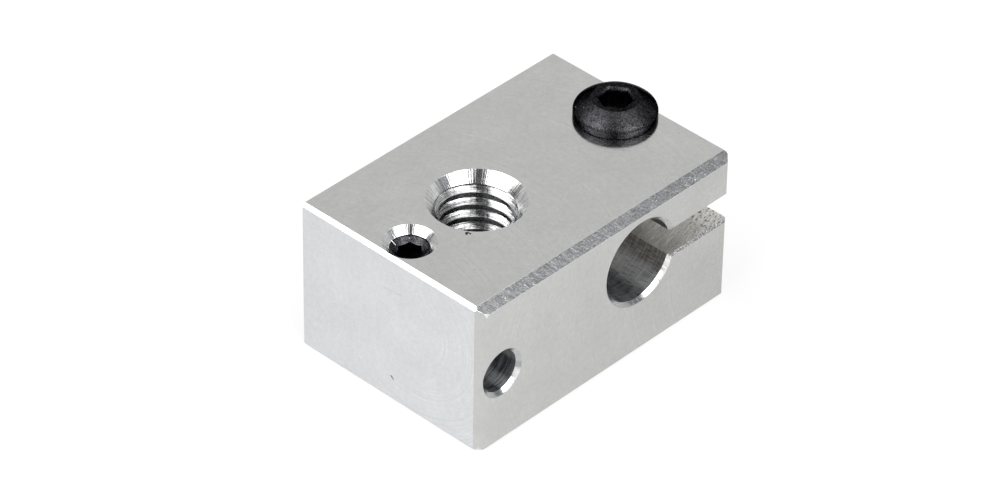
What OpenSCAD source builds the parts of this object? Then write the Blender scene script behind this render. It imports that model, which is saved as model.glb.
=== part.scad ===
// Heater block with a slit clamp for a cartridge heater, a bore for a cartridge sensor,
// a through hole threaded for a nozzle, a button-head clamp screw and a grub screw.
// Millimetres. +X runs from the sensor end to the slit end, +Y from the front face to
// the back face, +Z up through the top face that the screws go into.
// The origin is the middle of the block's bottom face.

/* [Block] */
// Length from the sensor end to the slit end
block_l = 23.5; // [23:0.5:30]
// Width from the front face to the back face, which is the length of both bores
block_w = 16; // [12:0.5:24]
// Height from the bottom face to the top face
block_h = 11.5; // [11.5:0.5:14]
// Chamfer along the front edge of the top face
front_chamfer = 0.6; // [0.2:0.05:1]
// Chamfer along the sensor end's edge of the top face
end_chamfer = 0.25; // [0.1:0.05:0.6]
// Chamfer on the upright edge between the front face and the sensor end
corner_chamfer = 0.55; // [0.1:0.05:1]
// Chamfer on the upright edge between the front face and the slit end
slit_corner_chamfer = 0.35; // [0.1:0.05:0.5]
// Small chamfer that takes the burr off every other outer edge
edge_break = 0.1; // [0.05:0.05:0.3]

/* [Nozzle hole] */
// Distance of the nozzle hole's axis from the sensor end
nozzle_from_end = 8.2; // [7:0.1:8.4]
// Distance of the three upright holes' axes from the front face
hole_from_front = 8.25; // [6:0.05:11]
// Diameter at the thread's crests, which is the tapping drill's size for M6
nozzle_bore_d = 5; // [4.2:0.1:5]
// Diameter of the 90 degree countersink at each mouth of the nozzle hole
nozzle_sink_d = 6.7; // [6:0.1:7]

/* [Heater bore and slit] */
// Distance of the heater bore's axis from the sensor end
heater_from_end = 14.95; // [14.8:0.05:15.5]
// Height of the heater bore's axis, and of the slit's middle, above the bottom face
heater_z = 7.2; // [6:0.1:7.4]
// Diameter of the cartridge heater's bore
heater_d = 6; // [5:0.1:6.2]
// Height of the slit that runs from the heater bore out through the slit end
slit_h = 2; // [0.8:0.1:2.4]
// Chamfer at the mouths of the two bores
mouth_chamfer = 0.27; // [0.1:0.01:0.35]
// Chamfer along the slit's edges on the front and back faces
slit_chamfer = 0.17; // [0.05:0.01:0.25]

/* [Sensor bore] */
// Distance of the sensor bore's axis, and of the grub screw's, from the sensor end
sensor_from_end = 2.05; // [2:0.05:2.3]
// Height of the sensor bore's axis above the bottom face
sensor_z = 5.45; // [4:0.05:6]
// Diameter of the cartridge sensor's bore
sensor_d = 3; // [2:0.1:3.1]

/* [Clamp screw] */
// Distance of the clamp screw's axis from the slit end
clamp_from_end = 2.25; // [2.25:0.05:2.9]
// Outer diameter of the clamp screw's thread, M3
clamp_d = 3; // [2.5:0.5:3]
// Length of the clamp screw under its head
clamp_len = 10; // [8:1:11]
// Height of the taper at the clamp screw's tip
clamp_taper = 0.4; // [0.3:0.05:0.6]
// Clearance on the diameter where the clamp screw passes through the upper jaw
clamp_clearance = 0.4; // [0.1:0.05:0.5]
// Diameter of the countersink round the clamp screw's hole in the bottom face
clamp_sink_d = 3.5; // [3.2:0.1:4]
// Diameter of the button head
head_d = 5.66; // [5.2:0.02:5.8]
// Height of the button head up to the flat ring round its socket
head_h = 1.42; // [1.3:0.02:1.7]
// Outer diameter of that flat ring
head_flat_d = 3.3; // [2.9:0.1:3.6]
// Radius of the dome between the flat ring and the rim
dome_r = 4; // [3.8:0.1:4.6]
// Rounding between the head's rim and its dome
rim_round = 0.25; // [0.1:0.05:0.35]
// Rounding at the foot of the head's rim, taken as a chamfer
rim_foot = 0.08; // [0.04:0.02:0.15]
// Distance across the flats of the head's hexagon socket
clamp_flats = 2; // [1.8:0.1:2]
// Depth of the head's socket below the flat ring
clamp_socket_depth = 1.05; // [0.8:0.05:1.1]
// Width of the flare that the punch left round the socket's mouth
clamp_lip = 0.17; // [0.05:0.01:0.25]
// Angle at which the clamp screw stopped, seen from above
clamp_turn = 5; // [0:1:59]

/* [Grub screw] */
// Outer diameter of the grub screw's thread, M3
grub_d = 3; // [2.5:0.5:3]
// Pitch of the grub screw's thread, by which its tapping drill is smaller
grub_pitch = 0.5; // [0.35:0.05:0.5]
// Depth of the grub screw's end below the top face
grub_sunk = 0.5; // [0.3:0.05:1]
// Gap between the grub screw's tip and the top of the sensor bore
grub_tip_gap = 0.05; // [0.02:0.01:0.3]
// Gap between the grub screw's tapered point and the mouth of the tapping drill's hole
grub_point_gap = 0.1; // [0.05:0.05:0.2]
// Distance across the flats of the grub screw's hexagon socket
grub_flats = 1.5; // [1.3:0.1:1.5]
// Depth of the grub screw's socket
grub_socket_depth = 1.5; // [1:0.1:1.8]
// Chamfer round the grub screw's upper end
grub_edge = 0.2; // [0.1:0.05:0.25]
// Width of the flat ring between that chamfer and the 120 degree dish round the socket
grub_ring = 0.1; // [0.05:0.05:0.2]
// Angle at which the grub screw stopped, seen from above
grub_turn = 45; // [0:1:59]
// Diameter of the countersink round the grub screw
grub_sink_d = 3.64; // [3.2:0.02:4]

/* [Hidden] */
$fn = 64;
nozzle_x = nozzle_from_end - block_l / 2;
heater_x = heater_from_end - block_l / 2;
sensor_x = sensor_from_end - block_l / 2;
clamp_x = block_l / 2 - clamp_from_end;
hole_y = hole_from_front - block_w / 2;
slit_low = heater_z - slit_h / 2;
slit_high = heater_z + slit_h / 2;
grub_top = block_h - grub_sunk;
grub_tip = sensor_z + sensor_d / 2 + grub_tip_gap;
grub_point_r = grub_d / 4;
grub_dish_r = grub_d / 2 - grub_edge - grub_ring;
grub_tap_d = grub_d - grub_pitch;
grub_thread_low = grub_tip + grub_tap_d / 2 - grub_point_r - grub_point_gap;
// How far a cut runs on past the face that it opens
past = 1;
// Depth of a punched socket's flare, as a multiple of its width
flare_steepness = 1.5;
rim_r = head_d / 2 - rim_round;
dome_z = head_h - sqrt(pow(dome_r, 2) - pow(head_flat_d / 2, 2));
rim_h = dome_z + sqrt(pow(dome_r - rim_round, 2) - pow(rim_r, 2));
steel_black = [0.08, 0.08, 0.09];
aluminium = [0.76, 0.77, 0.77];

// Square bar along X that cuts a 45 degree chamfer of the given width off an edge
module edge_cut(length, width) {
    rotate([45, 0, 0])
        cube([length, width * sqrt(2), width * sqrt(2)], center = true);
}

// 90 degree countersink that faces up, its mouth at z = 0, round a hole of diameter d
module countersink(d, mouth_d) {
    translate([0, 0, (d - mouth_d) / 2])
        cylinder(h = (mouth_d - d) / 2 + past, d1 = d, d2 = mouth_d + 2 * past);
}

// Through hole along Z from z = 0 to z = depth, countersunk at both mouths
module through_hole(d, depth, mouth_d) {
    cylinder(h = depth, d = d);
    translate([0, 0, depth])
        countersink(d, mouth_d);
    mirror([0, 0, 1])
        countersink(d, mouth_d);
}

// Outer form of the block with every edge chamfered
module block_body() {
    difference() {
        translate([-block_l / 2, -block_w / 2, 0])
            cube([block_l, block_w, block_h]);
        translate([0, -block_w / 2, block_h])
            edge_cut(block_l + 2 * past, front_chamfer);
        translate([0, block_w / 2, block_h])
            edge_cut(block_l + 2 * past, edge_break);
        for (side = [-1, 1])
            translate([0, side * block_w / 2, 0])
                edge_cut(block_l + 2 * past, edge_break);
        translate([-block_l / 2, 0, block_h])
            rotate([0, 0, 90])
                edge_cut(block_w + 2 * past, end_chamfer);
        translate([block_l / 2, 0, block_h])
            rotate([0, 0, 90])
                edge_cut(block_w + 2 * past, edge_break);
        for (side = [-1, 1])
            translate([side * block_l / 2, 0, 0])
                rotate([0, 0, 90])
                    edge_cut(block_w + 2 * past, edge_break);
        translate([-block_l / 2, -block_w / 2, block_h / 2])
            rotate([0, 90, 0])
                edge_cut(block_h + 2 * past, corner_chamfer);
        translate([block_l / 2, -block_w / 2, block_h / 2])
            rotate([0, 90, 0])
                edge_cut(block_h + 2 * past, slit_corner_chamfer);
        for (side = [-1, 1])
            translate([side * block_l / 2, block_w / 2, block_h / 2])
                rotate([0, 90, 0])
                    edge_cut(block_h + 2 * past, edge_break);
    }
}

// Through bore along Y with a chamfer at each mouth
module cross_bore(d) {
    translate([0, block_w / 2, 0])
        rotate([90, 0, 0])
            through_hole(d, block_w, d + 2 * mouth_chamfer);
}

// Slit from the heater bore's axis out through the slit end. Its front and back
// chamfers start inside the bore, so that they run out of the bore's own.
module slit() {
    chamfer_from = heater_x + heater_d * 3 / 8;
    chamfer_l = block_l / 2 + past - chamfer_from;
    translate([heater_x, -block_w / 2 - past, slit_low])
        cube([block_l / 2 + past - heater_x, block_w + 2 * past, slit_h]);
    for (z = [slit_low, slit_high]) {
        for (side = [-1, 1])
            translate([chamfer_from + chamfer_l / 2, side * block_w / 2, z])
                edge_cut(chamfer_l, slit_chamfer);
        translate([block_l / 2, 0, z])
            rotate([0, 0, 90])
                edge_cut(block_w + 2 * past, edge_break);
    }
}

// The clamp screw's hole: clear through the upper jaw, tapped through the lower one
module clamp_hole() {
    translate([0, 0, heater_z])
        cylinder(h = block_h, d = clamp_d + clamp_clearance);
    cylinder(h = heater_z, d = clamp_d);
    mirror([0, 0, 1])
        countersink(clamp_d, clamp_sink_d);
}

// The grub screw's hole: tapped and countersunk, down into the sensor bore
module grub_hole() {
    translate([0, 0, sensor_z])
        cylinder(h = grub_top - sensor_z, d = grub_tap_d);
    translate([0, 0, grub_thread_low])
        cylinder(h = block_h, d = grub_d);
    translate([0, 0, block_h])
        countersink(grub_d, grub_sink_d);
}

// The block: milled from a bar, then drilled, slit and tapped
module heater_block() {
    color(aluminium)
        difference() {
            block_body();
            translate([nozzle_x, hole_y, 0])
                through_hole(nozzle_bore_d, block_h, nozzle_sink_d);
            translate([heater_x, 0, heater_z])
                cross_bore(heater_d);
            translate([sensor_x, 0, sensor_z])
                cross_bore(sensor_d);
            slit();
            translate([clamp_x, hole_y, 0])
                clamp_hole();
            translate([sensor_x, hole_y, 0])
                grub_hole();
        }
}

// Hexagon socket with flared lips, its mouth at z = 0 and its floor at z = -depth
module punched_socket(flats, depth, lip) {
    rotate([0, 0, 30])
        intersection_for (turn = [0, 60, 120])
            rotate([90, 0, turn])
                linear_extrude(height = 4 * flats, center = true)
                    polygon([
                        [-flats / 2, -depth],
                        [flats / 2, -depth],
                        [flats / 2, -lip * flare_steepness],
                        [flats / 2 + lip, 0],
                        [flats / 2 + lip, past],
                        [-flats / 2 - lip, past],
                        [-flats / 2 - lip, 0],
                        [-flats / 2, -lip * flare_steepness]
                    ]);
}

// Hexagon socket at the foot of a 120 degree dish, its mouth at z = 0
module dished_socket(flats, depth, dish_r) {
    translate([0, 0, -depth])
        cylinder(h = depth + past, d = flats / cos(30), $fn = 6);
    translate([0, 0, -dish_r * tan(30)])
        cylinder(h = (dish_r + past) * tan(30), r1 = 0, r2 = dish_r + past);
}

// Button head standing on z = 0: an upright rim, a rounded shoulder, a shallow dome
// and a flat ring on top
module button_head() {
    rotate_extrude()
        intersection() {
            union() {
                polygon([
                    [0, 0],
                    [head_d / 2 - rim_foot, 0],
                    [head_d / 2, rim_foot],
                    [head_d / 2, rim_h],
                    [0, rim_h]
                ]);
                translate([rim_r, rim_h])
                    circle(r = rim_round);
                intersection() {
                    translate([0, dome_z])
                        circle(r = dome_r);
                    polygon([
                        [0, dome_z],
                        [1.5 * rim_r, 1.5 * rim_h - 0.5 * dome_z],
                        [0, 2 * head_h]
                    ]);
                }
            }
            square([head_d, head_h]);
        }
}

// The clamp screw: a button-head screw that pulls the two jaws of the slit together
module clamp_screw() {
    color(steel_black)
        translate([clamp_x, hole_y, block_h])
            rotate([0, 0, clamp_turn])
                difference() {
                    union() {
                        button_head();
                        translate([0, 0, clamp_taper - clamp_len])
                            cylinder(h = clamp_len, d = clamp_d);
                        translate([0, 0, -clamp_len])
                            cylinder(h = clamp_taper, d1 = clamp_d - 2 * clamp_taper, d2 = clamp_d);
                    }
                    translate([0, 0, head_h])
                        punched_socket(clamp_flats, clamp_socket_depth, clamp_lip);
                }
}

// The grub screw: headless, flush below the top face, its flat point over the sensor bore
module grub_screw() {
    color(steel_black)
        translate([sensor_x, hole_y, 0])
            rotate([0, 0, grub_turn])
                difference() {
                    rotate_extrude()
                        polygon([
                            [0, grub_tip],
                            [grub_point_r, grub_tip],
                            [grub_d / 2, grub_tip + grub_d / 2 - grub_point_r],
                            [grub_d / 2, grub_top - grub_edge],
                            [grub_d / 2 - grub_edge, grub_top],
                            [0, grub_top]
                        ]);
                    translate([0, 0, grub_top])
                        dished_socket(grub_flats, grub_socket_depth, grub_dish_r);
                }
}

heater_block();
clamp_screw();
grub_screw();
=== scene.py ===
import math

import bmesh
import bpy
from mathutils import Matrix, Vector


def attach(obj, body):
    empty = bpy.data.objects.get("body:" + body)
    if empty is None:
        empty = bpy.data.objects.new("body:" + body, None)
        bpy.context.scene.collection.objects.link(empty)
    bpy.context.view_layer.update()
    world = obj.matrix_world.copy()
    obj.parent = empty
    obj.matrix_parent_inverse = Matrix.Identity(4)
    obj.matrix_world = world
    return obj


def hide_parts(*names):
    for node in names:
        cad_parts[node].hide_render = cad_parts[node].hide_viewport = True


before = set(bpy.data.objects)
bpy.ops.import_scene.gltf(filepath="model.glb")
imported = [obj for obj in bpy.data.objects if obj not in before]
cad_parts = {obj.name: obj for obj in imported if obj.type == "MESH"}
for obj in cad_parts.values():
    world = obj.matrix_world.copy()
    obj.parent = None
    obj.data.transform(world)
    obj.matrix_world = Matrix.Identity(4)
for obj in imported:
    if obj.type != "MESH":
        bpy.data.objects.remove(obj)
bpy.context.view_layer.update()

# Camera
# A long lens in front of the upright edge between the sensor end and the front face,
# looking down on the block, as the photograph was taken.
camera_at = Vector((-0.18739, -0.17467, 0.20375))
camera_right = Vector((0.69242, -0.72137, 0.01339))
camera_down = Vector((-0.43355, -0.43084, -0.79146))
camera_ahead = Vector((0.57671, 0.54222, -0.61107))


def in_scene(name, data):
    """A new object in the scene that holds that camera, lamp or mesh."""
    made = bpy.data.objects.new(name, data)
    bpy.context.scene.collection.objects.link(made)
    return made


lens = bpy.data.cameras.new("camera")
lens.sensor_width = 36
lens.lens = 178.63
lens.clip_start = 0.01
lens.clip_end = 20
camera = in_scene("camera", lens)
camera.matrix_world = Matrix.Translation(camera_at) @ Matrix(
    (camera_right, -camera_down, -camera_ahead)).transposed().to_4x4()
bpy.context.scene.camera = camera

# Floor and light
# A white sweep of paper that runs up out of sight, two large soft boxes beside and
# above the camera with a dark gap between them, and a few cards that only show in the
# metal, as a product photographer sets them.


class Wire:
    """A node's output socket. Sums on it add Math nodes to its tree."""

    def __init__(self, tree, socket=None):
        self.tree = tree
        self.socket = socket

    def node(self, kind, settings, inputs, output=0):
        """Adds a node, sets it up, fills its sockets and returns one of its outputs."""
        made = self.tree.nodes.new("ShaderNode" + kind)
        for name, value in settings.items():
            setattr(made, name, value)
        for name, value in inputs.items():
            if isinstance(value, Wire):
                self.tree.links.new(value.socket, made.inputs[name])
            else:
                made.inputs[name].default_value = value
        return Wire(self.tree, made.outputs[output] if made.outputs else None)

    def sum(self, operation, *terms):
        """A Math node on one, two or three numbers or wires."""
        return self.node("Math", {"operation": operation}, dict(enumerate(terms)))

    def __add__(self, other):
        return self.sum("ADD", self, other)

    def __sub__(self, other):
        return self.sum("SUBTRACT", self, other)

    def __rsub__(self, other):
        return self.sum("SUBTRACT", other, self)

    def __mul__(self, other):
        return self.sum("MULTIPLY", self, other)

    def __truediv__(self, other):
        return self.sum("DIVIDE", self, other)

    def __gt__(self, other):
        return self.sum("GREATER_THAN", self, other)

    def __lt__(self, other):
        return self.sum("LESS_THAN", self, other)

    __radd__ = __add__
    __rmul__ = __mul__

    def root(self):
        return self.sum("SQRT", self)

    def size(self):
        """The value without its sign."""
        return self.sum("ABSOLUTE", self)

    def hold(self):
        """The value kept between 0 and 1."""
        return self.node("Clamp", {}, {"Value": self})

    def rise(self, low, high):
        """0 below low, 1 above high and a smooth slope between them."""
        return self.node("MapRange", {"interpolation_type": "SMOOTHSTEP"},
                         {"Value": self, "From Min": low, "From Max": high})

    def tint(self, dark, light):
        """The colour that goes from dark to light as the value goes from 0 to 1."""
        return self.node("Mix", {"data_type": "RGBA"},
                         {0: self, 6: dark if isinstance(dark, Wire) else (*dark, 1),
                          7: light if isinstance(light, Wire) else (*light, 1)}, 2)


def empty_material(name):
    """A new material with no nodes, as a wire to start from."""
    material = bpy.data.materials.new(name)
    material.use_nodes = True
    material.node_tree.nodes.clear()
    return material, Wire(material.node_tree)


def seen_directly(start):
    """1 for rays from the camera, off metal and through glass, and 0 for the others."""
    rays = [start.node("LightPath", {}, {}, kind)
            for kind in ("Is Camera Ray", "Is Glossy Ray", "Is Transmission Ray")]
    return (rays[0] + rays[1] + rays[2]).hold()


FLOOR_GLOW = 0.62
FLOOR_REACH = 1.2
FOOTPRINT = (0.0117, 0.0079)
SKY_LIGHT = 0.55
BOX_DISTANCE = 0.5
CARD_STEPS = 12
NEARER = 0.45
HOT = (7.0, 7.0, 7.0)
BLACK_CARD = (0.085, 0.085, 0.09)

floor_material, start = empty_material("white_paper")
grain = start.node("TexNoise", {}, {"Scale": 900.0, "Detail": 3.0})
paper = grain.tint((0.85, 0.85, 0.85), (0.87, 0.87, 0.87))
matt = start.node("BsdfDiffuse", {}, {"Color": paper})
glow = start.node("Emission", {}, {"Color": (1, 1, 1, 1), "Strength": 1.0})
place = start.node("TexCoord", {}, {}, "Object")
beside = [start.node("SeparateXYZ", {}, {0: place}, axis).size() for axis in "XY"]
# Painted shadow: under the block's footprint the floor's glow is left off.
under_block = (beside[0] < FOOTPRINT[0]) * (beside[1] < FOOTPRINT[1])
lit = seen_directly(start) * (1 - under_block) * FLOOR_GLOW
floor_finish = start.node("MixShader", {}, {0: lit, 1: matt, 2: glow})
start.node("OutputMaterial", {}, {"Surface": floor_finish})

floor_mesh = bpy.data.meshes.new("floor")
corners = [(x * FLOOR_REACH, y * FLOOR_REACH, 0.0)
           for x, y in ((-1, -1), (1, -1), (1, 1), (-1, 1))]
floor_mesh.from_pydata(corners, [], [(0, 1, 2, 3)])
floor_mesh.materials.append(floor_material)
floor = in_scene("floor", floor_mesh)

world = bpy.data.worlds.new("white_surround")
world.use_nodes = True
world.node_tree.nodes.clear()
start = Wire(world.node_tree)
sky_glow = seen_directly(start) * (1 - SKY_LIGHT) + SKY_LIGHT
sky = start.node("Background", {}, {"Color": (1, 1, 1, 1), "Strength": sky_glow})
start.node("OutputWorld", {}, {"Surface": sky})
bpy.context.scene.world = world


def toward(azimuth, elevation):
    """The unit vector that points there, in degrees from +X and above the floor."""
    a, e = math.radians(azimuth), math.radians(elevation)
    return Vector((math.cos(a) * math.cos(e), math.sin(a) * math.cos(e), math.sin(e)))


def soft_box(name, facing, along, reach, spread, glow):
    """An area lamp that faces the block from that direction, half a metre off.

    reach and spread give its edges along it and across it, as shares of its distance,
    and glow is how bright its face is.
    """
    across = facing.cross(along)
    length = (reach[1] - reach[0]) * BOX_DISTANCE
    width = (spread[1] - spread[0]) * BOX_DISTANCE
    lamp = bpy.data.lights.new(name, "AREA")
    lamp.shape = "RECTANGLE"
    lamp.size, lamp.size_y = length, width
    lamp.energy = glow * math.pi * length * width
    middle = facing + along * (sum(reach) / 2) + across * (sum(spread) / 2)
    box = in_scene(name, lamp)
    box.matrix_world = (Matrix.Translation(middle * BOX_DISTANCE)
                        @ Matrix((along, across, facing)).transposed().to_4x4())
    box.visible_camera = False


def card(name, azimuths, elevations, glow, distance=1.0):
    """A curved card, part of a sphere round the block, that only metal shows."""
    material, start = empty_material(name)
    face = start.node("Emission", {}, {"Color": (*glow, 1), "Strength": 1.0})
    start.node("OutputMaterial", {}, {"Surface": face})
    row = CARD_STEPS + 1
    wide, high = azimuths[1] - azimuths[0], elevations[1] - elevations[0]
    points = [toward(azimuths[0] + wide * i / CARD_STEPS,
                     elevations[0] + high * j / CARD_STEPS) * distance
              for j in range(row) for i in range(row)]
    faces = [(j * row + i, j * row + i + 1, (j + 1) * row + i + 1, (j + 1) * row + i)
             for j in range(CARD_STEPS) for i in range(CARD_STEPS)]
    mesh = bpy.data.meshes.new(name)
    mesh.from_pydata(points, [], faces)
    mesh.materials.append(material)
    made = in_scene(name, mesh)
    made.visible_camera = made.visible_diffuse = made.visible_shadow = False


soft_box("left_soft_box", facing=Vector((-0.5094, 0.1461, 0.8480)),
         along=Vector((0.7555, 0.5428, 0.3604)), reach=(-1.0, 0.75), spread=(-0.2, 0.6),
         glow=2.3)
soft_box("right_soft_box", facing=Vector((0.0, -0.5300, 0.8480)),
         along=Vector((0.6101, 0.6720, 0.4200)), reach=(-1.0, 0.75), spread=(-0.285, 0.285),
         glow=2.6)

# The last three stand nearer: the hot middles of the two boxes, and the gap between them.
card("back_card", (-10, 100), (1, 72), (0.70, 0.70, 0.69))
card("zenith_flag", (0, 360), (77, 90), (0.16, 0.16, 0.165))
card("camera_flag", (190, 250), (12, 77), BLACK_CARD)
card("front_edge_card", (288, 300), (12, 60), (0.50, 0.50, 0.51))
card("front_flag", (300, 335), (12, 60), (0.38, 0.385, 0.395))
card("left_far_flag", (105, 134), (12, 42), (0.15, 0.15, 0.155))
card("left_box_middle", (142, 182), (25, 64), HOT, NEARER)
card("right_box_middle", (256, 298), (22, 52), HOT, NEARER)
card("gap_flag", (214, 246), (36, 76), BLACK_CARD, NEARER)

# Aluminium block
# One bar of aluminium, milled on all faces, drilled, countersunk, slit through its
# heater bore and tapped: M6 for the nozzle, M3 for the clamp screw. Every edge has a
# small chamfer, and the cutters left their marks on the faces and in the holes.
BLOCK_L, BLOCK_W, BLOCK_H = 23.5, 16.0, 11.5
HOLE_Y = 0.25
NOZZLE_X, NOZZLE_R, NOZZLE_SINK_R = -3.55, 2.5, 3.35
HEATER_X, HEATER_Z, HEATER_R = 3.2, 7.2, 3.0
SENSOR_X, SENSOR_Z, SENSOR_R = -9.7, 5.45, 1.5
CLAMP_X, CLAMP_CLEAR_R, CLAMP_SINK_R = 9.5, 1.7, 1.75
TAP_DRILL_R = 1.25
GRUB_HOLE_R, GRUB_HOLE_FOOT, GRUB_SINK_R, GRUB_SINK_FOOT = 1.505, 7.4, 1.82, 11.01
SLIT_LOW, SLIT_HIGH = 6.2, 8.2
MOUTH, SLIT_FLARE = 0.27, 0.17
FRONT_CHAMFER, END_CHAMFER, CORNER_CHAMFER, SLIT_CORNER_CHAMFER = 0.6, 0.25, 0.55, 0.35
EDGE_BREAK, CORNER_FACET, EDGE_ROUND = 0.1, 0.08, 0.014
M3_PITCH, M6_PITCH = 0.5, 1.0
# How far a drill's outline runs on past the block's face.
PAST = 0.6
ZONES = ["top_face", "sensor_end_face", "front_face", "far_faces", "front_chamfer",
         "bright_chamfer", "countersink", "thread", "bore", "slit"]
TOP, END, FRONT, FAR, CHAMFER, BRIGHT, SINK, THREAD, BORE, SLIT = range(len(ZONES))


def zoned(name, mesh):
    """An object in the scene for the mesh, with an empty material slot for each zone."""
    for _ in ZONES:
        mesh.materials.append(None)
    return in_scene(name, mesh)


def piece(name, points, faces, zones):
    """A mesh object in millimetres whose faces carry the numbers of their zones."""
    mesh = bpy.data.meshes.new(name)
    mesh.from_pydata(points, [], faces)
    mesh.polygons.foreach_set("material_index", zones)
    bm = bmesh.new()
    bm.from_mesh(mesh)
    bmesh.ops.recalc_face_normals(bm, faces=bm.faces)
    bm.to_mesh(mesh)
    bm.free()
    return zoned(name, mesh)


def turned(name, outline, steps=128, along="Z", at=(0, 0, 0)):
    """A turned solid: outline holds (radius, height, zone) from axis to axis."""
    points, faces, zones, rings = [], [], [], []
    for radius, height, _ in outline:
        if radius == 0:
            rings.append([len(points)] * steps)
            points.append((0, 0, height))
        else:
            rings.append(list(range(len(points), len(points) + steps)))
            points += [(radius * math.cos(2 * math.pi * k / steps),
                        radius * math.sin(2 * math.pi * k / steps), height)
                       for k in range(steps)]
    for low, high, (_, _, zone) in zip(rings, rings[1:], outline[1:]):
        if low[0] == low[1]:
            faces.append(high)
            zones.append(zone)
        elif high[0] == high[1]:
            faces.append(low)
            zones.append(zone)
        else:
            for k in range(steps):
                faces.append((low[k], low[(k + 1) % steps], high[(k + 1) % steps], high[k]))
                zones.append(zone)
    made = piece(name, points, faces, zones)
    if along == "Y":
        made.data.transform(Matrix.Rotation(math.radians(90), 4, "X"))
    made.data.transform(Matrix.Translation(at))
    return made


def prism(name, outline, along, low, high):
    """A straight bar along X or Y: outline holds (a, b, zone of the side from there)."""
    order = {"X": lambda a, b, h: (h, a, b), "Y": lambda a, b, h: (a, h, b)}[along]
    count = len(outline)
    points = [order(a, b, h) for h in (low, high) for a, b, _ in outline]
    faces = [list(range(count)), list(range(count, 2 * count))]
    faces += [(k, (k + 1) % count, count + (k + 1) % count, count + k)
              for k in range(count)]
    return piece(name, points, faces, [outline[0][2]] * 2 + [zone for _, _, zone in outline])


def helix(name, outline, pitch, start_angle, low, high, steps, zone, at=(0, 0, 0)):
    """A right-hand thread form: outline holds (radius, height) about the thread line."""
    count = int((high - low) / pitch * steps) + 1
    points, faces = [], []
    for k in range(count):
        turn = 2 * math.pi * k / steps + math.radians(start_angle)
        rise = low + pitch * k / steps
        points += [(r * math.cos(turn), r * math.sin(turn), rise + h) for r, h in outline]
    sides = len(outline)
    for k in range(count - 1):
        for s in range(sides):
            a, b = k * sides + s, k * sides + (s + 1) % sides
            faces.append((a, b, b + sides, a + sides))
    faces += [list(range(sides)), list(range((count - 1) * sides, count * sides))]
    made = piece(name, points, faces, [zone] * len(faces))
    made.data.transform(Matrix.Translation(at))
    return made


def settle(made):
    """Gives the object the mesh that its modifiers make, and takes the modifiers off."""
    graph = bpy.context.evaluated_depsgraph_get()
    graph.update()
    mesh = bpy.data.meshes.new_from_object(made.evaluated_get(graph))
    made.modifiers.clear()
    old, made.data = made.data, mesh
    bpy.data.meshes.remove(old)


def carve(body, cutter, operation="DIFFERENCE"):
    """Cuts the cutter's form out of the body, or adds it, and does away with the cutter."""
    tool = body.modifiers.new("cut", "BOOLEAN")
    tool.operation = operation
    tool.solver = "EXACT"
    tool.object = cutter
    tool.material_mode = "INDEX"
    settle(body)
    bpy.data.objects.remove(cutter)


def milled_bar():
    """The bar with its chamfers, its edges very slightly rounded.

    The upright edges of the near corner, by the camera, are left crisp.
    """
    x, y, z = BLOCK_L / 2, BLOCK_W / 2, BLOCK_H
    bm = bmesh.new()
    bmesh.ops.create_cube(bm, size=1)
    bmesh.ops.transform(bm, verts=bm.verts, matrix=Matrix.Translation((0, 0, z / 2))
                        @ Matrix.Diagonal((BLOCK_L, BLOCK_W, BLOCK_H, 1)))
    for face in bm.faces:
        n = face.normal
        face.material_index = (TOP if n.z > 0.5 else END if n.x < -0.5
                               else FRONT if n.y < -0.5 else FAR)
    cuts = [((0, -y, z), (0, -1, 1), FRONT_CHAMFER, CHAMFER),
            ((-x, 0, z), (-1, 0, 1), END_CHAMFER, BRIGHT),
            ((-x, -y, z / 2), (-1, -1, 0), CORNER_CHAMFER, FRONT),
            ((x, -y, z / 2), (1, -1, 0), SLIT_CORNER_CHAMFER, FRONT),
            ((0, y, z), (0, 1, 1), EDGE_BREAK, FAR),
            ((x, 0, z), (1, 0, 1), EDGE_BREAK, FAR),
            ((0, -y, 0), (0, -1, -1), EDGE_BREAK, FAR),
            ((0, y, 0), (0, 1, -1), EDGE_BREAK, FAR),
            ((-x, 0, 0), (-1, 0, -1), EDGE_BREAK, FAR),
            ((x, 0, 0), (1, 0, -1), EDGE_BREAK, FAR),
            ((-x, y, z / 2), (-1, 1, 0), EDGE_BREAK, FAR),
            ((x, y, z / 2), (1, 1, 0), EDGE_BREAK, FAR),
            ((CORNER_CHAMFER - x, -y, z - FRONT_CHAMFER), (-0.27, -0.92, 0.27), CORNER_FACET,
             BRIGHT)]
    for edge, normal, width, zone in cuts:
        normal = Vector(normal).normalized()
        cut = bmesh.ops.bisect_plane(
            bm, geom=bm.verts[:] + bm.edges[:] + bm.faces[:], clear_outer=True,
            plane_co=Vector(edge) - normal * width / math.sqrt(2), plane_no=normal)
        rim = [e for e in cut["geom_cut"] if isinstance(e, bmesh.types.BMEdge)]
        for face in bmesh.ops.contextual_create(bm, geom=rim)["faces"]:
            face.material_index = zone
    bmesh.ops.recalc_face_normals(bm, faces=bm.faces)
    rounded = []
    for edge in bm.edges:
        one, other = (vertex.co for vertex in edge.verts)
        upright = abs(one.z - other.z) > BLOCK_H / 2
        if not (upright and one.x < 0 and one.y < 0):
            rounded.append(edge)
    bmesh.ops.bevel(bm, geom=rounded, offset=EDGE_ROUND, segments=2, profile=0.5,
                    affect="EDGES", clamp_overlap=True)
    mesh = bpy.data.meshes.new("aluminium_block")
    bm.to_mesh(mesh)
    bm.free()
    return zoned("aluminium_block", mesh)


def drill(radius, sink, length, wall, mouth, lip=0.03):
    """Outline of a through hole from height 0 to length, its mouths 45 degree cones.

    From lip below each face the cone opens wider, which rounds its rim.
    """
    return [(0, -PAST, mouth), (sink + PAST, -PAST / 2, mouth),
            (sink - lip, lip, mouth), (radius, sink - radius, mouth),
            (radius, length - (sink - radius), wall), (sink - lip, length - lip, mouth),
            (sink + PAST, length + PAST / 2, mouth), (0, length + PAST, mouth)]


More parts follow.
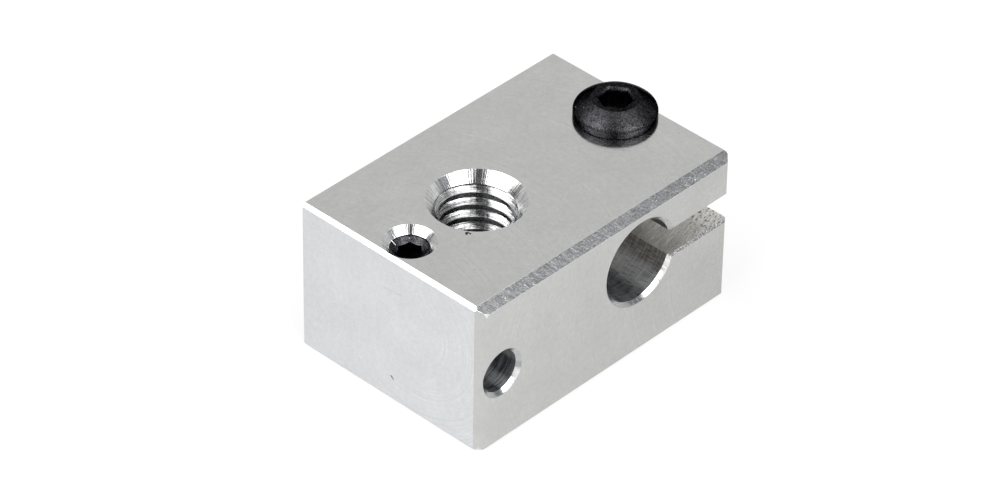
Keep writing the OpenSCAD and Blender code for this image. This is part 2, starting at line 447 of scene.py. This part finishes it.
block = milled_bar()
nozzle_foot = (NOZZLE_X, HOLE_Y, 0)
clamp_foot = (CLAMP_X, HOLE_Y, 0)
grub_foot = (SENSOR_X, HOLE_Y, 0)
carve(block, turned("nozzle_drill", drill(NOZZLE_R, NOZZLE_SINK_R, BLOCK_H, THREAD, SINK),
                    steps=160, at=nozzle_foot))
top_lip = BLOCK_H - (NOZZLE_SINK_R - NOZZLE_R)
carve(block, turned("nozzle_lip", [
    (0, top_lip - 0.5, SINK), (NOZZLE_R + 0.004, top_lip - 0.30, SINK),
    (NOZZLE_R + 0.022, top_lip - 0.12, SINK), (NOZZLE_R + 0.06, top_lip, SINK),
    (NOZZLE_R + 0.13, top_lip + 0.12, SINK), (0, top_lip + 0.4, SINK)],
    steps=160, at=nozzle_foot))
for radius, x, z in ((HEATER_R, HEATER_X, HEATER_Z), (SENSOR_R, SENSOR_X, SENSOR_Z)):
    carve(block, turned("bore_drill", drill(radius, radius + MOUTH, BLOCK_W, BORE, BRIGHT, 0.02),
                        steps=144, along="Y", at=(x, BLOCK_W / 2, z)))
front, back = -BLOCK_W / 2, BLOCK_W / 2
end = BLOCK_L / 2
wide = SLIT_FLARE + 1
carve(block, prism("slitting_saw", [
    (front - 1, SLIT_LOW - wide, BRIGHT), (front + SLIT_FLARE, SLIT_LOW, SLIT),
    (back - SLIT_FLARE, SLIT_LOW, BRIGHT), (back + 1, SLIT_LOW - wide, SLIT),
    (back + 1, SLIT_HIGH + wide, BRIGHT), (back - SLIT_FLARE, SLIT_HIGH, SLIT),
    (front + SLIT_FLARE, SLIT_HIGH, BRIGHT), (front - 1, SLIT_HIGH + wide, SLIT)],
    "X", HEATER_X, end + 1))
carve(block, prism("slit_end_file", [
    (end - EDGE_BREAK, SLIT_LOW, SLIT), (end + 1, SLIT_LOW - 1 - EDGE_BREAK, SLIT),
    (end + 1, SLIT_HIGH + 1 + EDGE_BREAK, SLIT), (end - EDGE_BREAK, SLIT_HIGH, SLIT)],
    "Y", front - 1, back + 1))
carve(block, turned("clamp_clearance_drill", [
    (0, SLIT_HIGH - 1, BORE), (CLAMP_CLEAR_R, SLIT_HIGH - 1, BORE),
    (CLAMP_CLEAR_R, BLOCK_H + 1, BORE), (0, BLOCK_H + 1, BORE)],
    steps=96, at=clamp_foot))
carve(block, turned("clamp_tapping_drill", [
    (0, -0.5, SINK), (CLAMP_SINK_R + 0.5, -0.5, SINK),
    (TAP_DRILL_R, CLAMP_SINK_R - TAP_DRILL_R, SINK),
    (TAP_DRILL_R, SLIT_LOW + 1, THREAD), (0, SLIT_LOW + 1, THREAD)],
    steps=96, at=clamp_foot))
carve(block, turned("grub_drill", [
    (0, SENSOR_Z, BORE), (TAP_DRILL_R, SENSOR_Z, BORE), (TAP_DRILL_R, GRUB_HOLE_FOOT, BORE),
    (GRUB_HOLE_R, GRUB_HOLE_FOOT, BORE), (GRUB_HOLE_R, GRUB_SINK_FOOT, SINK),
    (GRUB_SINK_R - (BLOCK_H - GRUB_SINK_FOOT), GRUB_SINK_FOOT, SINK),
    (GRUB_SINK_R - 0.03, BLOCK_H - 0.03, SINK),
    (GRUB_SINK_R + PAST, BLOCK_H + PAST / 2, SINK), (0, BLOCK_H + PAST, SINK)],
    steps=128, at=grub_foot))
M6_HALF = [(2.3, 0.466), (2.66, 0.258), (2.77, 0.175), (2.845, 0.097), (2.88, 0.035)]
M6_OUTLINE = [(r, -h) for r, h in M6_HALF] + [(r, h) for r, h in reversed(M6_HALF)]
carve(block, helix("m6_tap", M6_OUTLINE, M6_PITCH, start_angle=43.2, low=-1.46, high=12.54,
                   steps=120, zone=THREAD, at=nozzle_foot))
M3_TAP_OUTLINE = [(1.15, -0.225), (1.52, -0.028), (1.52, 0.028), (1.15, 0.225)]
carve(block, helix("m3_tap", M3_TAP_OUTLINE, M3_PITCH, start_angle=0, low=-0.75, high=6.75,
                   steps=72, zone=THREAD, at=clamp_foot))


def dent(at, reach, turn, axis):
    """An uneven egg-shaped tool that leaves a small pit, with its reach in X, Y and Z."""
    bm = bmesh.new()
    bmesh.ops.create_icosphere(bm, subdivisions=3, radius=1)
    for vertex in bm.verts:
        x, y, z = vertex.co
        vertex.co *= 1 + 0.22 * math.sin(4.1 * x + 2.3 * y) + 0.12 * math.sin(7.3 * y - 5.1 * z)
    points = [tuple(v.co) for v in bm.verts]
    faces = [[v.index for v in f.verts] for f in bm.faces]
    bm.free()
    made = piece("dent", points, faces, [BORE] * len(faces))
    made.data.transform(Matrix.Translation(at) @ Matrix.Rotation(math.radians(turn), 4, axis)
                        @ Matrix.Diagonal((*reach, 1)))
    return made


# A knock beside the nozzle hole and a comma-shaped one low on the sensor end, each made
# of two pits, and two scratches on that end.
for at, reach, degrees, axis in (
        ((-6.53, -1.73, BLOCK_H), (0.18, 0.10, 0.30), 20, "Z"),
        ((-6.42, -1.90, BLOCK_H), (0.07, 0.09, 0.20), 0, "Z"),
        ((-end, -0.19, 1.83), (0.12, 0.14, 0.05), 35, "X"),
        ((-end, -0.30, 1.73), (0.10, 0.05, 0.09), 0, "X")):
    carve(block, dent(at, reach, degrees, axis))
for y, z, length, rise, width in ((-0.97, 8.92, 1.53, -0.14, 0.019),
                                  (4.37, 2.55, 1.30, -0.15, 0.015)):
    scratch = prism("scratch", [
        (-width, -width, BORE), (width, 0.0, BORE), (-width, width, BORE)], "Y", 0.0, length)
    scratch.data.transform(Matrix.Translation((-end, y, z))
                           @ Matrix.Rotation(math.atan2(rise, length), 4, "X"))
    carve(block, scratch)

# A thin sliver that the countersink left standing over the grub screw.
sliver = prism("sliver", [
    (-0.022, 0.0, SINK), (0.022, 0.0, SINK), (0.0, 0.03, SINK)], "Y", 0.0, 0.62)
sliver.data.transform(Matrix.Translation((-10.02, 1.65, 11.03))
                      @ Matrix.Rotation(math.radians(168), 4, "Z")
                      @ Matrix.Rotation(math.radians(-3.5), 4, "X"))
carve(block, sliver, "UNION")


def finish_shape(made, angle=28):
    """Brings the piece to metres and shades it smooth between its sharp edges."""
    made.data.transform(Matrix.Scale(0.001, 4))
    made.data.polygons.foreach_set("use_smooth", [True] * len(made.data.polygons))
    made.data.set_sharp_from_angle(angle=math.radians(angle))
    weight = made.modifiers.new("face_weights", "WEIGHTED_NORMAL")
    weight.keep_sharp = True
    settle(made)


finish_shape(block)


def millimetres(start):
    """The point on the piece in millimetres, and its three coordinates."""
    place = start.node("TexCoord", {}, {}, "Object")
    point = start.node("VectorMath", {"operation": "SCALE"}, {0: place, "Scale": 1000.0})
    return point, [start.node("SeparateXYZ", {}, {0: point}, axis) for axis in "XYZ"]


def cloud(point, size, detail=2.0, roughness=0.5):
    """Soft noise whose patches are about size millimetres across."""
    return point.node("TexNoise", {}, {"Vector": point, "Scale": 1 / size,
                                       "Detail": detail, "Roughness": roughness})


def lines(value, size, detail=2.0):
    """Uneven lines across the way in which value grows, about size apart."""
    return value.node("TexNoise", {"noise_dimensions": "1D"},
                      {"W": value, "Scale": 1 / size, "Detail": detail})


def streaks(across, along, size, length, detail=2.0):
    """Marks drawn out along one way: about size across it and length along it."""
    place = across.node("CombineXYZ", {}, {"X": across / size, "Y": along / length})
    return across.node("TexNoise", {"noise_dimensions": "2D"},
                       {"Vector": place, "Scale": 1.0, "Detail": detail})


def specks(point, size, share, radius):
    """1 in small spots: cells of that size, a share of which hold one."""
    cell = {"Vector": point, "Scale": 1 / size}
    distance = point.node("TexVoronoi", {}, cell, "Distance")
    colour = point.node("TexVoronoi", {}, cell, "Color")
    lot = point.node("SeparateColor", {}, {0: colour}, "Red")
    return (lot < share) * (1 - (distance * size).rise(radius * 0.5, radius))


def metal(start, colour, rough, height, depth):
    """Bare metal: its colour, its roughness and its surface's height, times depth."""
    relief = start.node("Bump", {}, {"Strength": 1.0, "Distance": depth, "Height": height})
    finish = start.node("BsdfPrincipled", {}, {
        "Base Color": colour, "Metallic": 1.0, "Roughness": rough, "Normal": relief})
    start.node("OutputMaterial", {}, {"Surface": finish})


def milled_face(name, tone, marks, arc_depth, depth=4e-6, rough=0.175, painted_falloff=0.0):
    """A milled face: marks gives the cutter's arcs in millimetres and where they show.

    The last argument says how fast the colour darkens toward the slit end, as painted shade.
    """
    material, start = empty_material(name)
    point, axes = millimetres(start)
    arc, shown, first, second = marks(*axes)
    patches = cloud(point, 3.0)
    mottle = cloud(point, 0.42, 3.0, 0.6)
    grain = cloud(point, 0.13, 2.0, 0.7)
    arcs = (lines(arc, 0.2, 3.0) - 0.5) * shown * (patches.rise(0.36, 0.62) + 0.2) * arc_depth
    scratches = streaks(first + second * 0.35, second, 0.07, 1.1).rise(0.66, 0.74)
    rubs = streaks(second - first * 0.6, first, 0.09, 1.6).rise(0.65, 0.73)
    dark_spots = specks(point, 1.1, 0.45, 0.06)
    light_spots = specks(point, 1.5, 0.4, 0.06)
    worn = (grain - 0.5) * 0.50 + (mottle - 0.5) * 0.42 + (patches - 0.5) * 0.35 + arcs
    # Painted shade: the colour darkens along X toward the slit end.
    worn = worn - axes[0] * painted_falloff
    marked = worn + (scratches * 0.16 + rubs * 0.10) - dark_spots * 0.55 + light_spots * 0.5
    colour = (marked + 0.5).hold().tint([c * 0.81 for c in tone], [c * 1.19 for c in tone])
    roughness = (mottle - 0.5) * 0.10 + (grain - 0.5) * 0.08 + rough
    height = grain * 0.22 + mottle * 0.18 + arcs * 0.6 + scratches * 0.3 - dark_spots
    metal(start, colour, roughness, height, depth)
    return material


def top_arcs(x, y, z):
    """Wide arcs of the face mill, which ran along the block's length."""
    return x - (196.0 - (y + 1.0) * (y + 1.0)).root(), 1.0, x, y


def end_rings(x, y, z):
    """Rings of the end mill, plain only low on the side of the sensor bore."""
    ring = ((y + 2.0) * (y + 2.0) + (z - 7.0) * (z - 7.0)).root()
    return ring, (3.0 - y * 0.5 - z * 0.4).rise(0.0, 2.6), z, y


def front_arcs(x, y, z):
    """Faint arcs of the face mill, which ran along the front face."""
    return x + (144.0 - (z - 5.0) * (z - 5.0)).root(), 1.0, x, z


# The front face's darker tone, and its fall-off toward the slit end, are painted shade.
block_materials = [
    milled_face("milled_top", (0.675, 0.678, 0.675), top_arcs, 0.3, rough=0.15),
    milled_face("milled_sensor_end", (0.62, 0.632, 0.645), end_rings, 0.45),
    milled_face("milled_front", (0.50, 0.50, 0.487), front_arcs, 0.25, painted_falloff=0.014),
    milled_face("milled_back", (0.64, 0.64, 0.64), front_arcs, 0.5)]

# The front chamfer was cut in one pass with chatter: slanting tears and bright flecks.
material, start = empty_material("chattered_chamfer")
point, (x, y, z) = millimetres(start)
tears = streaks(x + y * 0.9, y, 0.10, 0.55, 3.0)
long_tears = streaks(x + y * 0.9, y, 0.34, 1.2, 2.0)
flecks = streaks(x + y * 0.7, y, 0.16, 0.30, 1.0).rise(0.60, 0.72)
pocks = specks(point, 0.30, 0.16, 0.06)
fine = cloud(point, 0.10, 2.0, 0.6)
chatter = ((tears - 0.5) * 0.7 + (long_tears - 0.5) * 0.5 + (fine - 0.5) * 2.1
           + flecks * 0.1 + pocks * 0.5)
colour = (chatter + 0.36).hold().tint((0.27, 0.275, 0.285), (0.70, 0.705, 0.71))
height = tears * 0.5 + fine * 0.5 + flecks * 0.15 + pocks
metal(start, colour, (tears - 0.5) * 0.12 + 0.24, height, depth=5.5e-6)
block_materials.append(material)


def about_bore(start, x, z):
    """For the nearer bore: the angle about its axis, the distance from it, its radius.

    The fourth wire is 1 where that is the heater's bore.
    """
    by_heater = x > (HEATER_X + SENSOR_X) / 2
    side = x - SENSOR_X - by_heater * (HEATER_X - SENSOR_X)
    up = z - SENSOR_Z - by_heater * (HEATER_Z - SENSOR_Z)
    radius = by_heater * (HEATER_R - SENSOR_R) + SENSOR_R
    return start.sum("ARCTAN2", up, side), (side * side + up * up).root(), radius, by_heater


# The other chamfers and the slit's front edges were cut clean and bright, with a few
# nicks across them; along the slit's lower edges they are darker, with lighter burrs.
# Round the bores' mouths the colour is painted shade, but for one angle that is left
# bright as a painted highlight.
material, start = empty_material("bright_chamfer")
point, (x, y, z) = millimetres(start)
fine = cloud(point, 0.12, 2.0)
nicks = streaks(z + y * 0.2 + x * 0.3, x - z, 0.06, 3.0).rise(0.62, 0.72)
turn, reach, radius, by_heater = about_bore(start, x, z)
# Painted shade round the bores' mouths: darker away from one angle, which is left bright as a
# painted highlight, with a painted dark patch on the sensor bore's mouth.
highlight_turn = math.radians(-50)
on_mouth = reach < radius + MOUTH + 0.06
off_highlight = (turn - highlight_turn).size().rise(0.42, 0.62)
foot = (turn < highlight_turn) * 0.16
painted_dark_patch = (1 - (turn + 0.16).size().rise(0.09, 0.15)) * (1 - by_heater)
mouth = on_mouth * (off_highlight * (foot + 0.56) + painted_dark_patch * 0.2)
cuts = lines(turn, 0.05, 2.0).rise(0.64, 0.70) * by_heater
on_slit = (x > HEATER_X + HEATER_R - 0.1) * (z < HEATER_Z)
burrs = streaks(x, z * 3, 0.10, 0.4).rise(0.50, 0.56)
edge_shade = on_slit * (burrs * 0.6 - 0.40) - mouth - nicks * (1 - on_mouth * 0.7) * 0.45
clean = (fine - 0.5) * 0.4 - cuts * 0.8 + edge_shade + 0.8
colour = clean.hold().tint((0.34, 0.34, 0.34), (0.86, 0.86, 0.86))
height = fine * 0.1 - nicks * 0.2 - cuts * 0.4 + burrs * on_slit * 3
metal(start, colour, (fine - 0.5) * 0.1 + 0.17, height, depth=9e-6)
block_materials.append(material)

# The countersinks shine, with radial chatter from the tool's edges. Each is centred on
# its own hole. The rounded lip under the nozzle hole's countersink is given a darker tone.
material, start = empty_material("countersink_cut")
point, (x, y, z) = millimetres(start)
between_sinks = (NOZZLE_X + SENSOR_X) / 2 - 0.7
centre = ((x < between_sinks) * (SENSOR_X - NOZZLE_X)
          + (x > (NOZZLE_X + CLAMP_X) / 2) * (CLAMP_X - NOZZLE_X) + NOZZLE_X)
turn = start.sum("ARCTAN2", y - HOLE_Y, x - centre)
chatter = lines(turn + z * 0.02, 0.045, 3.0)
waves = streaks(turn, z, 0.11, 0.6, 2.0)
rings = lines(z, 0.09, 2.0)
spots = specks(point, 0.22, 0.3, 0.05)
lip = (z < top_lip) * (z > BLOCK_H / 2) * (centre < 0) * (x > between_sinks)
cut_shade = ((chatter - 0.5) * 1.3 + (waves - 0.5) * 0.9 + (rings - 0.5) * 0.5
             - spots * 0.45 - lip * 0.35)
colour = (cut_shade + 0.52).hold().tint((0.34, 0.345, 0.35), (0.84, 0.84, 0.84))
height = chatter + waves * 0.6 + rings * 0.3
metal(start, colour, (waves - 0.5) * 0.12 + 0.15, height, depth=8e-6)
block_materials.append(material)

# The thread's flanks carry lines where the tap ran, with torn, dull spots between them.
material, start = empty_material("tapped_thread")
point, (x, y, z) = millimetres(start)
from_axis = ((x - NOZZLE_X) * (x - NOZZLE_X) + (y - HOLE_Y) * (y - HOLE_Y)).root()
turn = start.sum("ARCTAN2", y - HOLE_Y, x - NOZZLE_X)
scores = streaks(from_axis + z * 0.3, turn, 0.06, 0.5, 3.0)
tears = streaks(turn, from_axis, 0.07, 0.5, 2.0)
smear = cloud(point, 0.5)
# Painted shade: the thread's crests are darkened.
crest_painted_shade = 1 - from_axis.rise(NOZZLE_R + 0.005, NOZZLE_R + 0.05)
thread_shade = ((scores - 0.5) * 1.6 + (tears - 0.5) * 0.8 + (smear - 0.5) * 0.7
                - crest_painted_shade * 0.55)
colour = (thread_shade + 0.33).hold().tint((0.20, 0.20, 0.205), (0.78, 0.78, 0.78))
height = scores + tears * 0.5 + smear * 0.4
metal(start, colour, (smear - 0.5) * 0.2 + 0.19, height, depth=1.4e-5)
block_materials.append(material)

# The bores were drilled and reamed: fine rings round them and streaks along them. Their
# lower side and their part near the slit are darker, as painted shade, grey, but brown in
# the heater bore except low down. Along the middle of that lower side runs a lighter
# strip, a painted highlight. Each tone has its darkest and its lightest value.
# Darkest and lightest tones: the first pair for the rest of the wall, GREY and BROWN for the
# painted shade, the last for the painted highlight strip.
BARE = ((0.75, 0.75, 0.75), (1.0, 1.0, 1.0))
GREY = ((0.135, 0.140, 0.152), (0.44, 0.460, 0.495))
BROWN = ((0.190, 0.180, 0.172), (0.58, 0.555, 0.53))
HIGHLIGHT_STRIP_TONES = ((0.46, 0.495, 0.53), (0.97, 0.99, 1.0))
material, start = empty_material("reamed_bore")
point, (x, y, z) = millimetres(start)
turn, _, radius, by_heater = about_bore(start, x, z)
arc = turn * radius
rings = streaks(y + arc * 0.05, arc, 0.13, 1.8, 3.0)
fine_rings = lines(y, 0.05, 2.0)
drag = streaks(arc, y, 0.12, 1.3, 3.0)
fine_drag = streaks(arc + y * 0.05, y, 0.05, 0.6, 2.0)
stain = cloud(point, 1.4)
bore_shade = ((rings - 0.5) * (5.0 - by_heater * 3.4) + (drag - 0.5) * (by_heater * 0.9 + 0.5)
              + (fine_drag - 0.5) * 1.9 + (fine_rings - 0.5) * 0.8 + (stain - 0.5) * 0.5)
# Painted shade: the lower side and the part near the slit are darkened.
shaded_side = 1 - (turn + math.radians(62)).size().rise(0.95, 1.25)
painted_shade_mask = start.sum("MAXIMUM", shaded_side, (z - SLIT_LOW).rise(0.0, 2.4))
# Painted highlight: a lighter strip along the middle of the lower side.
painted_highlight_strip = 1 - (turn - by_heater * 0.157 + math.radians(68)).size().rise(0.12, 0.43)
browned = by_heater * (turn + 1.2).rise(0.0, 0.4)
darkest, lightest = [
    painted_highlight_strip.tint(painted_shade_mask.tint(BARE[k], browned.tint(GREY[k], BROWN[k])), HIGHLIGHT_STRIP_TONES[k])
    for k in (0, 1)]
colour = (bore_shade + painted_highlight_strip * 0.22 + 0.5).hold().tint(darkest, lightest)
height = rings * 0.5 + drag + fine_drag * 0.5 + fine_rings * 0.3
metal(start, colour, (drag - 0.5) * 0.25 + 0.37, height, depth=2.5e-5)
block_materials.append(material)

# The slit was sawn: scratches 15 degrees off its length, and pits near its open end.
SLANT_ALONG, SLANT_ACROSS = 0.966, 0.26
material, start = empty_material("sawn_slit")
point, (x, y, z) = millimetres(start)
across = y * SLANT_ALONG - x * SLANT_ACROSS
along = x * SLANT_ALONG + y * SLANT_ACROSS
saw = streaks(across, along, 0.08, 1.1, 3.0)
broad = streaks(across, along, 0.45, 2.2, 2.0)
rough_patch = cloud(point, 0.10, 2.0, 0.6)
open_end = (x + y * 0.15).rise(6.5, 10.5)
pits = streaks(across, along, 0.16, 0.30, 2.0).rise(0.57, 0.64) * open_end
slit_shade = ((saw - 0.5) * (open_end * 0.5 + 0.7) + (broad - 0.5) * 0.5
              + (rough_patch - 0.5) * 1.5 + open_end * 0.14 - pits * 0.75)
colour = (slit_shade + 0.54).hold().tint((0.20, 0.195, 0.185), (0.92, 0.91, 0.88))
height = saw * 0.8 + broad * 0.5 + rough_patch - pits
metal(start, colour, (rough_patch - 0.5) * 0.2 + 0.36, height, depth=1.5e-5)
block_materials.append(material)

for zone, material in enumerate(block_materials):
    block.data.materials[zone] = material
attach(block, "root")
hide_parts("heater_block")

# Clamp screw
# An M3 button-head screw of hardened steel with a black oxide coat. It goes down
# through the upper jaw, crosses the slit and draws the lower jaw up on its thread.
HEAD_R, HEAD_H, HEAD_RING_R, DOME_R, RIM_ROUND, RIM_FOOT = 2.83, 1.42, 1.65, 4.0, 0.42, 0.10
CLAMP_LEN, SHANK_R, NECK_R, CLAMP_TURN = 10.0, 1.5, 1.3, 5
SOCKET_FLATS, SOCKET_DEPTH, SOCKET_LIP = 2.0, 1.05, 0.17
RIM_STEPS, DOME_STEPS = 8, 14

dome_z = HEAD_H - math.sqrt(DOME_R ** 2 - HEAD_RING_R ** 2)
rim_r = HEAD_R - RIM_ROUND
rim_z = dome_z + math.sqrt((DOME_R - RIM_ROUND) ** 2 - rim_r ** 2)
rim_angle = math.atan2(rim_z - dome_z, rim_r)
ring_angle = math.atan2(HEAD_H - dome_z, HEAD_RING_R)
head_outline = [(HEAD_R - RIM_FOOT, 0, 0), (HEAD_R - 0.3 * RIM_FOOT, 0.3 * RIM_FOOT, 0),
                (HEAD_R, RIM_FOOT, 0)]
for k in range(RIM_STEPS + 1):
    a = rim_angle * k / RIM_STEPS
    head_outline.append((rim_r + RIM_ROUND * math.cos(a), rim_z + RIM_ROUND * math.sin(a), 0))
for k in range(1, DOME_STEPS + 1):
    a = rim_angle + (ring_angle - rim_angle) * k / DOME_STEPS
    head_outline.append((DOME_R * math.cos(a), dome_z + DOME_R * math.sin(a), 0))
head_outline += [(HEAD_RING_R - 0.06, HEAD_H, 0), (0, HEAD_H, 0)]


def hexagon_punch(name, flats, levels, turn, at, corner=0.07):
    """A hexagon punch: levels holds (height, added to half the flats), from below."""
    points, faces, rings = [], [], []
    for height, spread in levels:
        reach = (flats / 2 + spread) / math.cos(math.radians(30))
        rings.append(list(range(len(points), len(points) + 12)))
        for k in range(6):
            for side in (-1, 1):
                a = math.radians(60 * k + turn)
                tip = Vector((reach * math.cos(a), reach * math.sin(a), height))
                b = a + side * math.radians(120)
                tip += Vector((math.cos(b), math.sin(b), 0)) * corner
                points.append(tuple(tip))
    for low, high in zip(rings, rings[1:]):
        faces += [(low[k], low[(k + 1) % 12], high[(k + 1) % 12], high[k])
                  for k in range(12)]
    faces += [rings[0], rings[-1]]
    made = piece(name, points, faces, [0] * len(faces))
    made.data.transform(Matrix.Translation(at))
    return made


crest_r = SHANK_R - 0.005
screw = turned("clamp_screw_dressed", [
    (0, -CLAMP_LEN, 0), (SHANK_R - 0.4, -CLAMP_LEN, 0), (crest_r, 0.4 - CLAMP_LEN, 0),
    (crest_r, -0.6, 0), (NECK_R, -0.4, 0), (NECK_R, 0, 0)] + head_outline,
    steps=144, at=(CLAMP_X, HOLE_Y, BLOCK_H))
M3_DIE_OUTLINE = [(1.19, -0.0625), (1.51, -0.2455), (1.51, 0.2455), (1.19, 0.0625)]
carve(screw, helix("m3_die", M3_DIE_OUTLINE, M3_PITCH, start_angle=0, low=1.0, high=11.0,
                   steps=72, zone=0, at=clamp_foot))
carve(screw, hexagon_punch("socket_punch", SOCKET_FLATS, [
    (-SOCKET_DEPTH, 0), (-0.26, 0), (-0.13, 0.03), (-0.05, 0.09), (0.0, SOCKET_LIP),
    (0.15, SOCKET_LIP + 0.3)], CLAMP_TURN, (CLAMP_X, HOLE_Y, BLOCK_H + HEAD_H)))
finish_shape(screw, 24)


def black_oxide(name, rough, light):
    """Black oxide on steel: fine grain from near black up to light, with tiny bright nicks."""
    material, start = empty_material(name)
    point, axes = millimetres(start)
    grain = cloud(point, 0.11, 3.0, 0.7)
    blotch = cloud(point, 0.4, 3.0)
    nicks = specks(point, 0.5, 0.14, 0.05)
    shade = ((grain - 0.5) * 2.4 + (blotch - 0.5) * 1.0 + 0.45).hold()
    colour = nicks.tint(shade.tint((0.007, 0.007, 0.0077), [light, light, light * 1.09]),
                        (0.45, 0.45, 0.45))
    roughness = (blotch - 0.5) * 0.2 + (grain - 0.5) * 0.4 + rough
    relief = start.node("Bump", {}, {"Strength": 1.0, "Distance": 2.5e-5,
                                     "Height": grain + blotch * 0.5})
    coat = start.node("BsdfPrincipled", {}, {
        "Base Color": colour, "Roughness": roughness, "Metallic": 1.0,
        "Specular Tint": (0.12, 0.12, 0.13, 1), "Normal": relief})
    start.node("OutputMaterial", {}, {"Surface": coat})
    return material


screw.data.materials.clear()
screw.data.materials.append(black_oxide("black_oxide_head", 0.18, 0.056))
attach(screw, "root")
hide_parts("clamp_screw")

# Grub screw
# An M3 grub screw of black steel, screwed in below the countersink until its flat
# point stands over the sensor bore, where it holds the temperature sensor.
GRUB_TOP, GRUB_TIP, GRUB_R, GRUB_TURN = 11.0, 7.0, 1.5, 45
GRUB_FLATS, GRUB_DEPTH = 1.5, 1.5
GRUB_DISH_R, DISH_SLOPE = 1.2, math.tan(math.radians(30))

grub = turned("grub_screw_dressed", [
    (0, GRUB_TIP, 0), (0.75, GRUB_TIP, 0), (GRUB_R, GRUB_TIP + 0.75, 0),
    (GRUB_R, GRUB_TOP - 0.2, 0), (GRUB_R - 0.16, GRUB_TOP - 0.02, 0),
    (GRUB_R - 0.22, GRUB_TOP, 0), (0, GRUB_TOP, 0)], steps=96, at=grub_foot)
carve(grub, hexagon_punch("grub_punch", GRUB_FLATS, [(-GRUB_DEPTH, 0), (0.3, 0)],
                          GRUB_TURN, (SENSOR_X, HOLE_Y, GRUB_TOP), corner=0.05))
dish_foot = GRUB_TOP - GRUB_DISH_R * DISH_SLOPE
dish_mouth = GRUB_TOP + 0.3 * DISH_SLOPE
carve(grub, turned("grub_dish_drill", [
    (0, dish_foot, 0), (0.02, dish_foot, 0), (GRUB_DISH_R + 0.3, dish_mouth, 0),
    (0, dish_mouth, 0)], steps=96, at=grub_foot))
finish_shape(grub, 24)
grub.data.materials.clear()
# The grub's lighter tone is painted light, lifting it where it sits shaded in its recess.
grub.data.materials.append(black_oxide("black_oxide_grub", 0.18, 0.11))
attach(grub, "root")
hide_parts("grub_screw")

# View
# Colours are shown with the plain Standard view transform.
view = bpy.context.scene.view_settings
view.view_transform = "Standard"
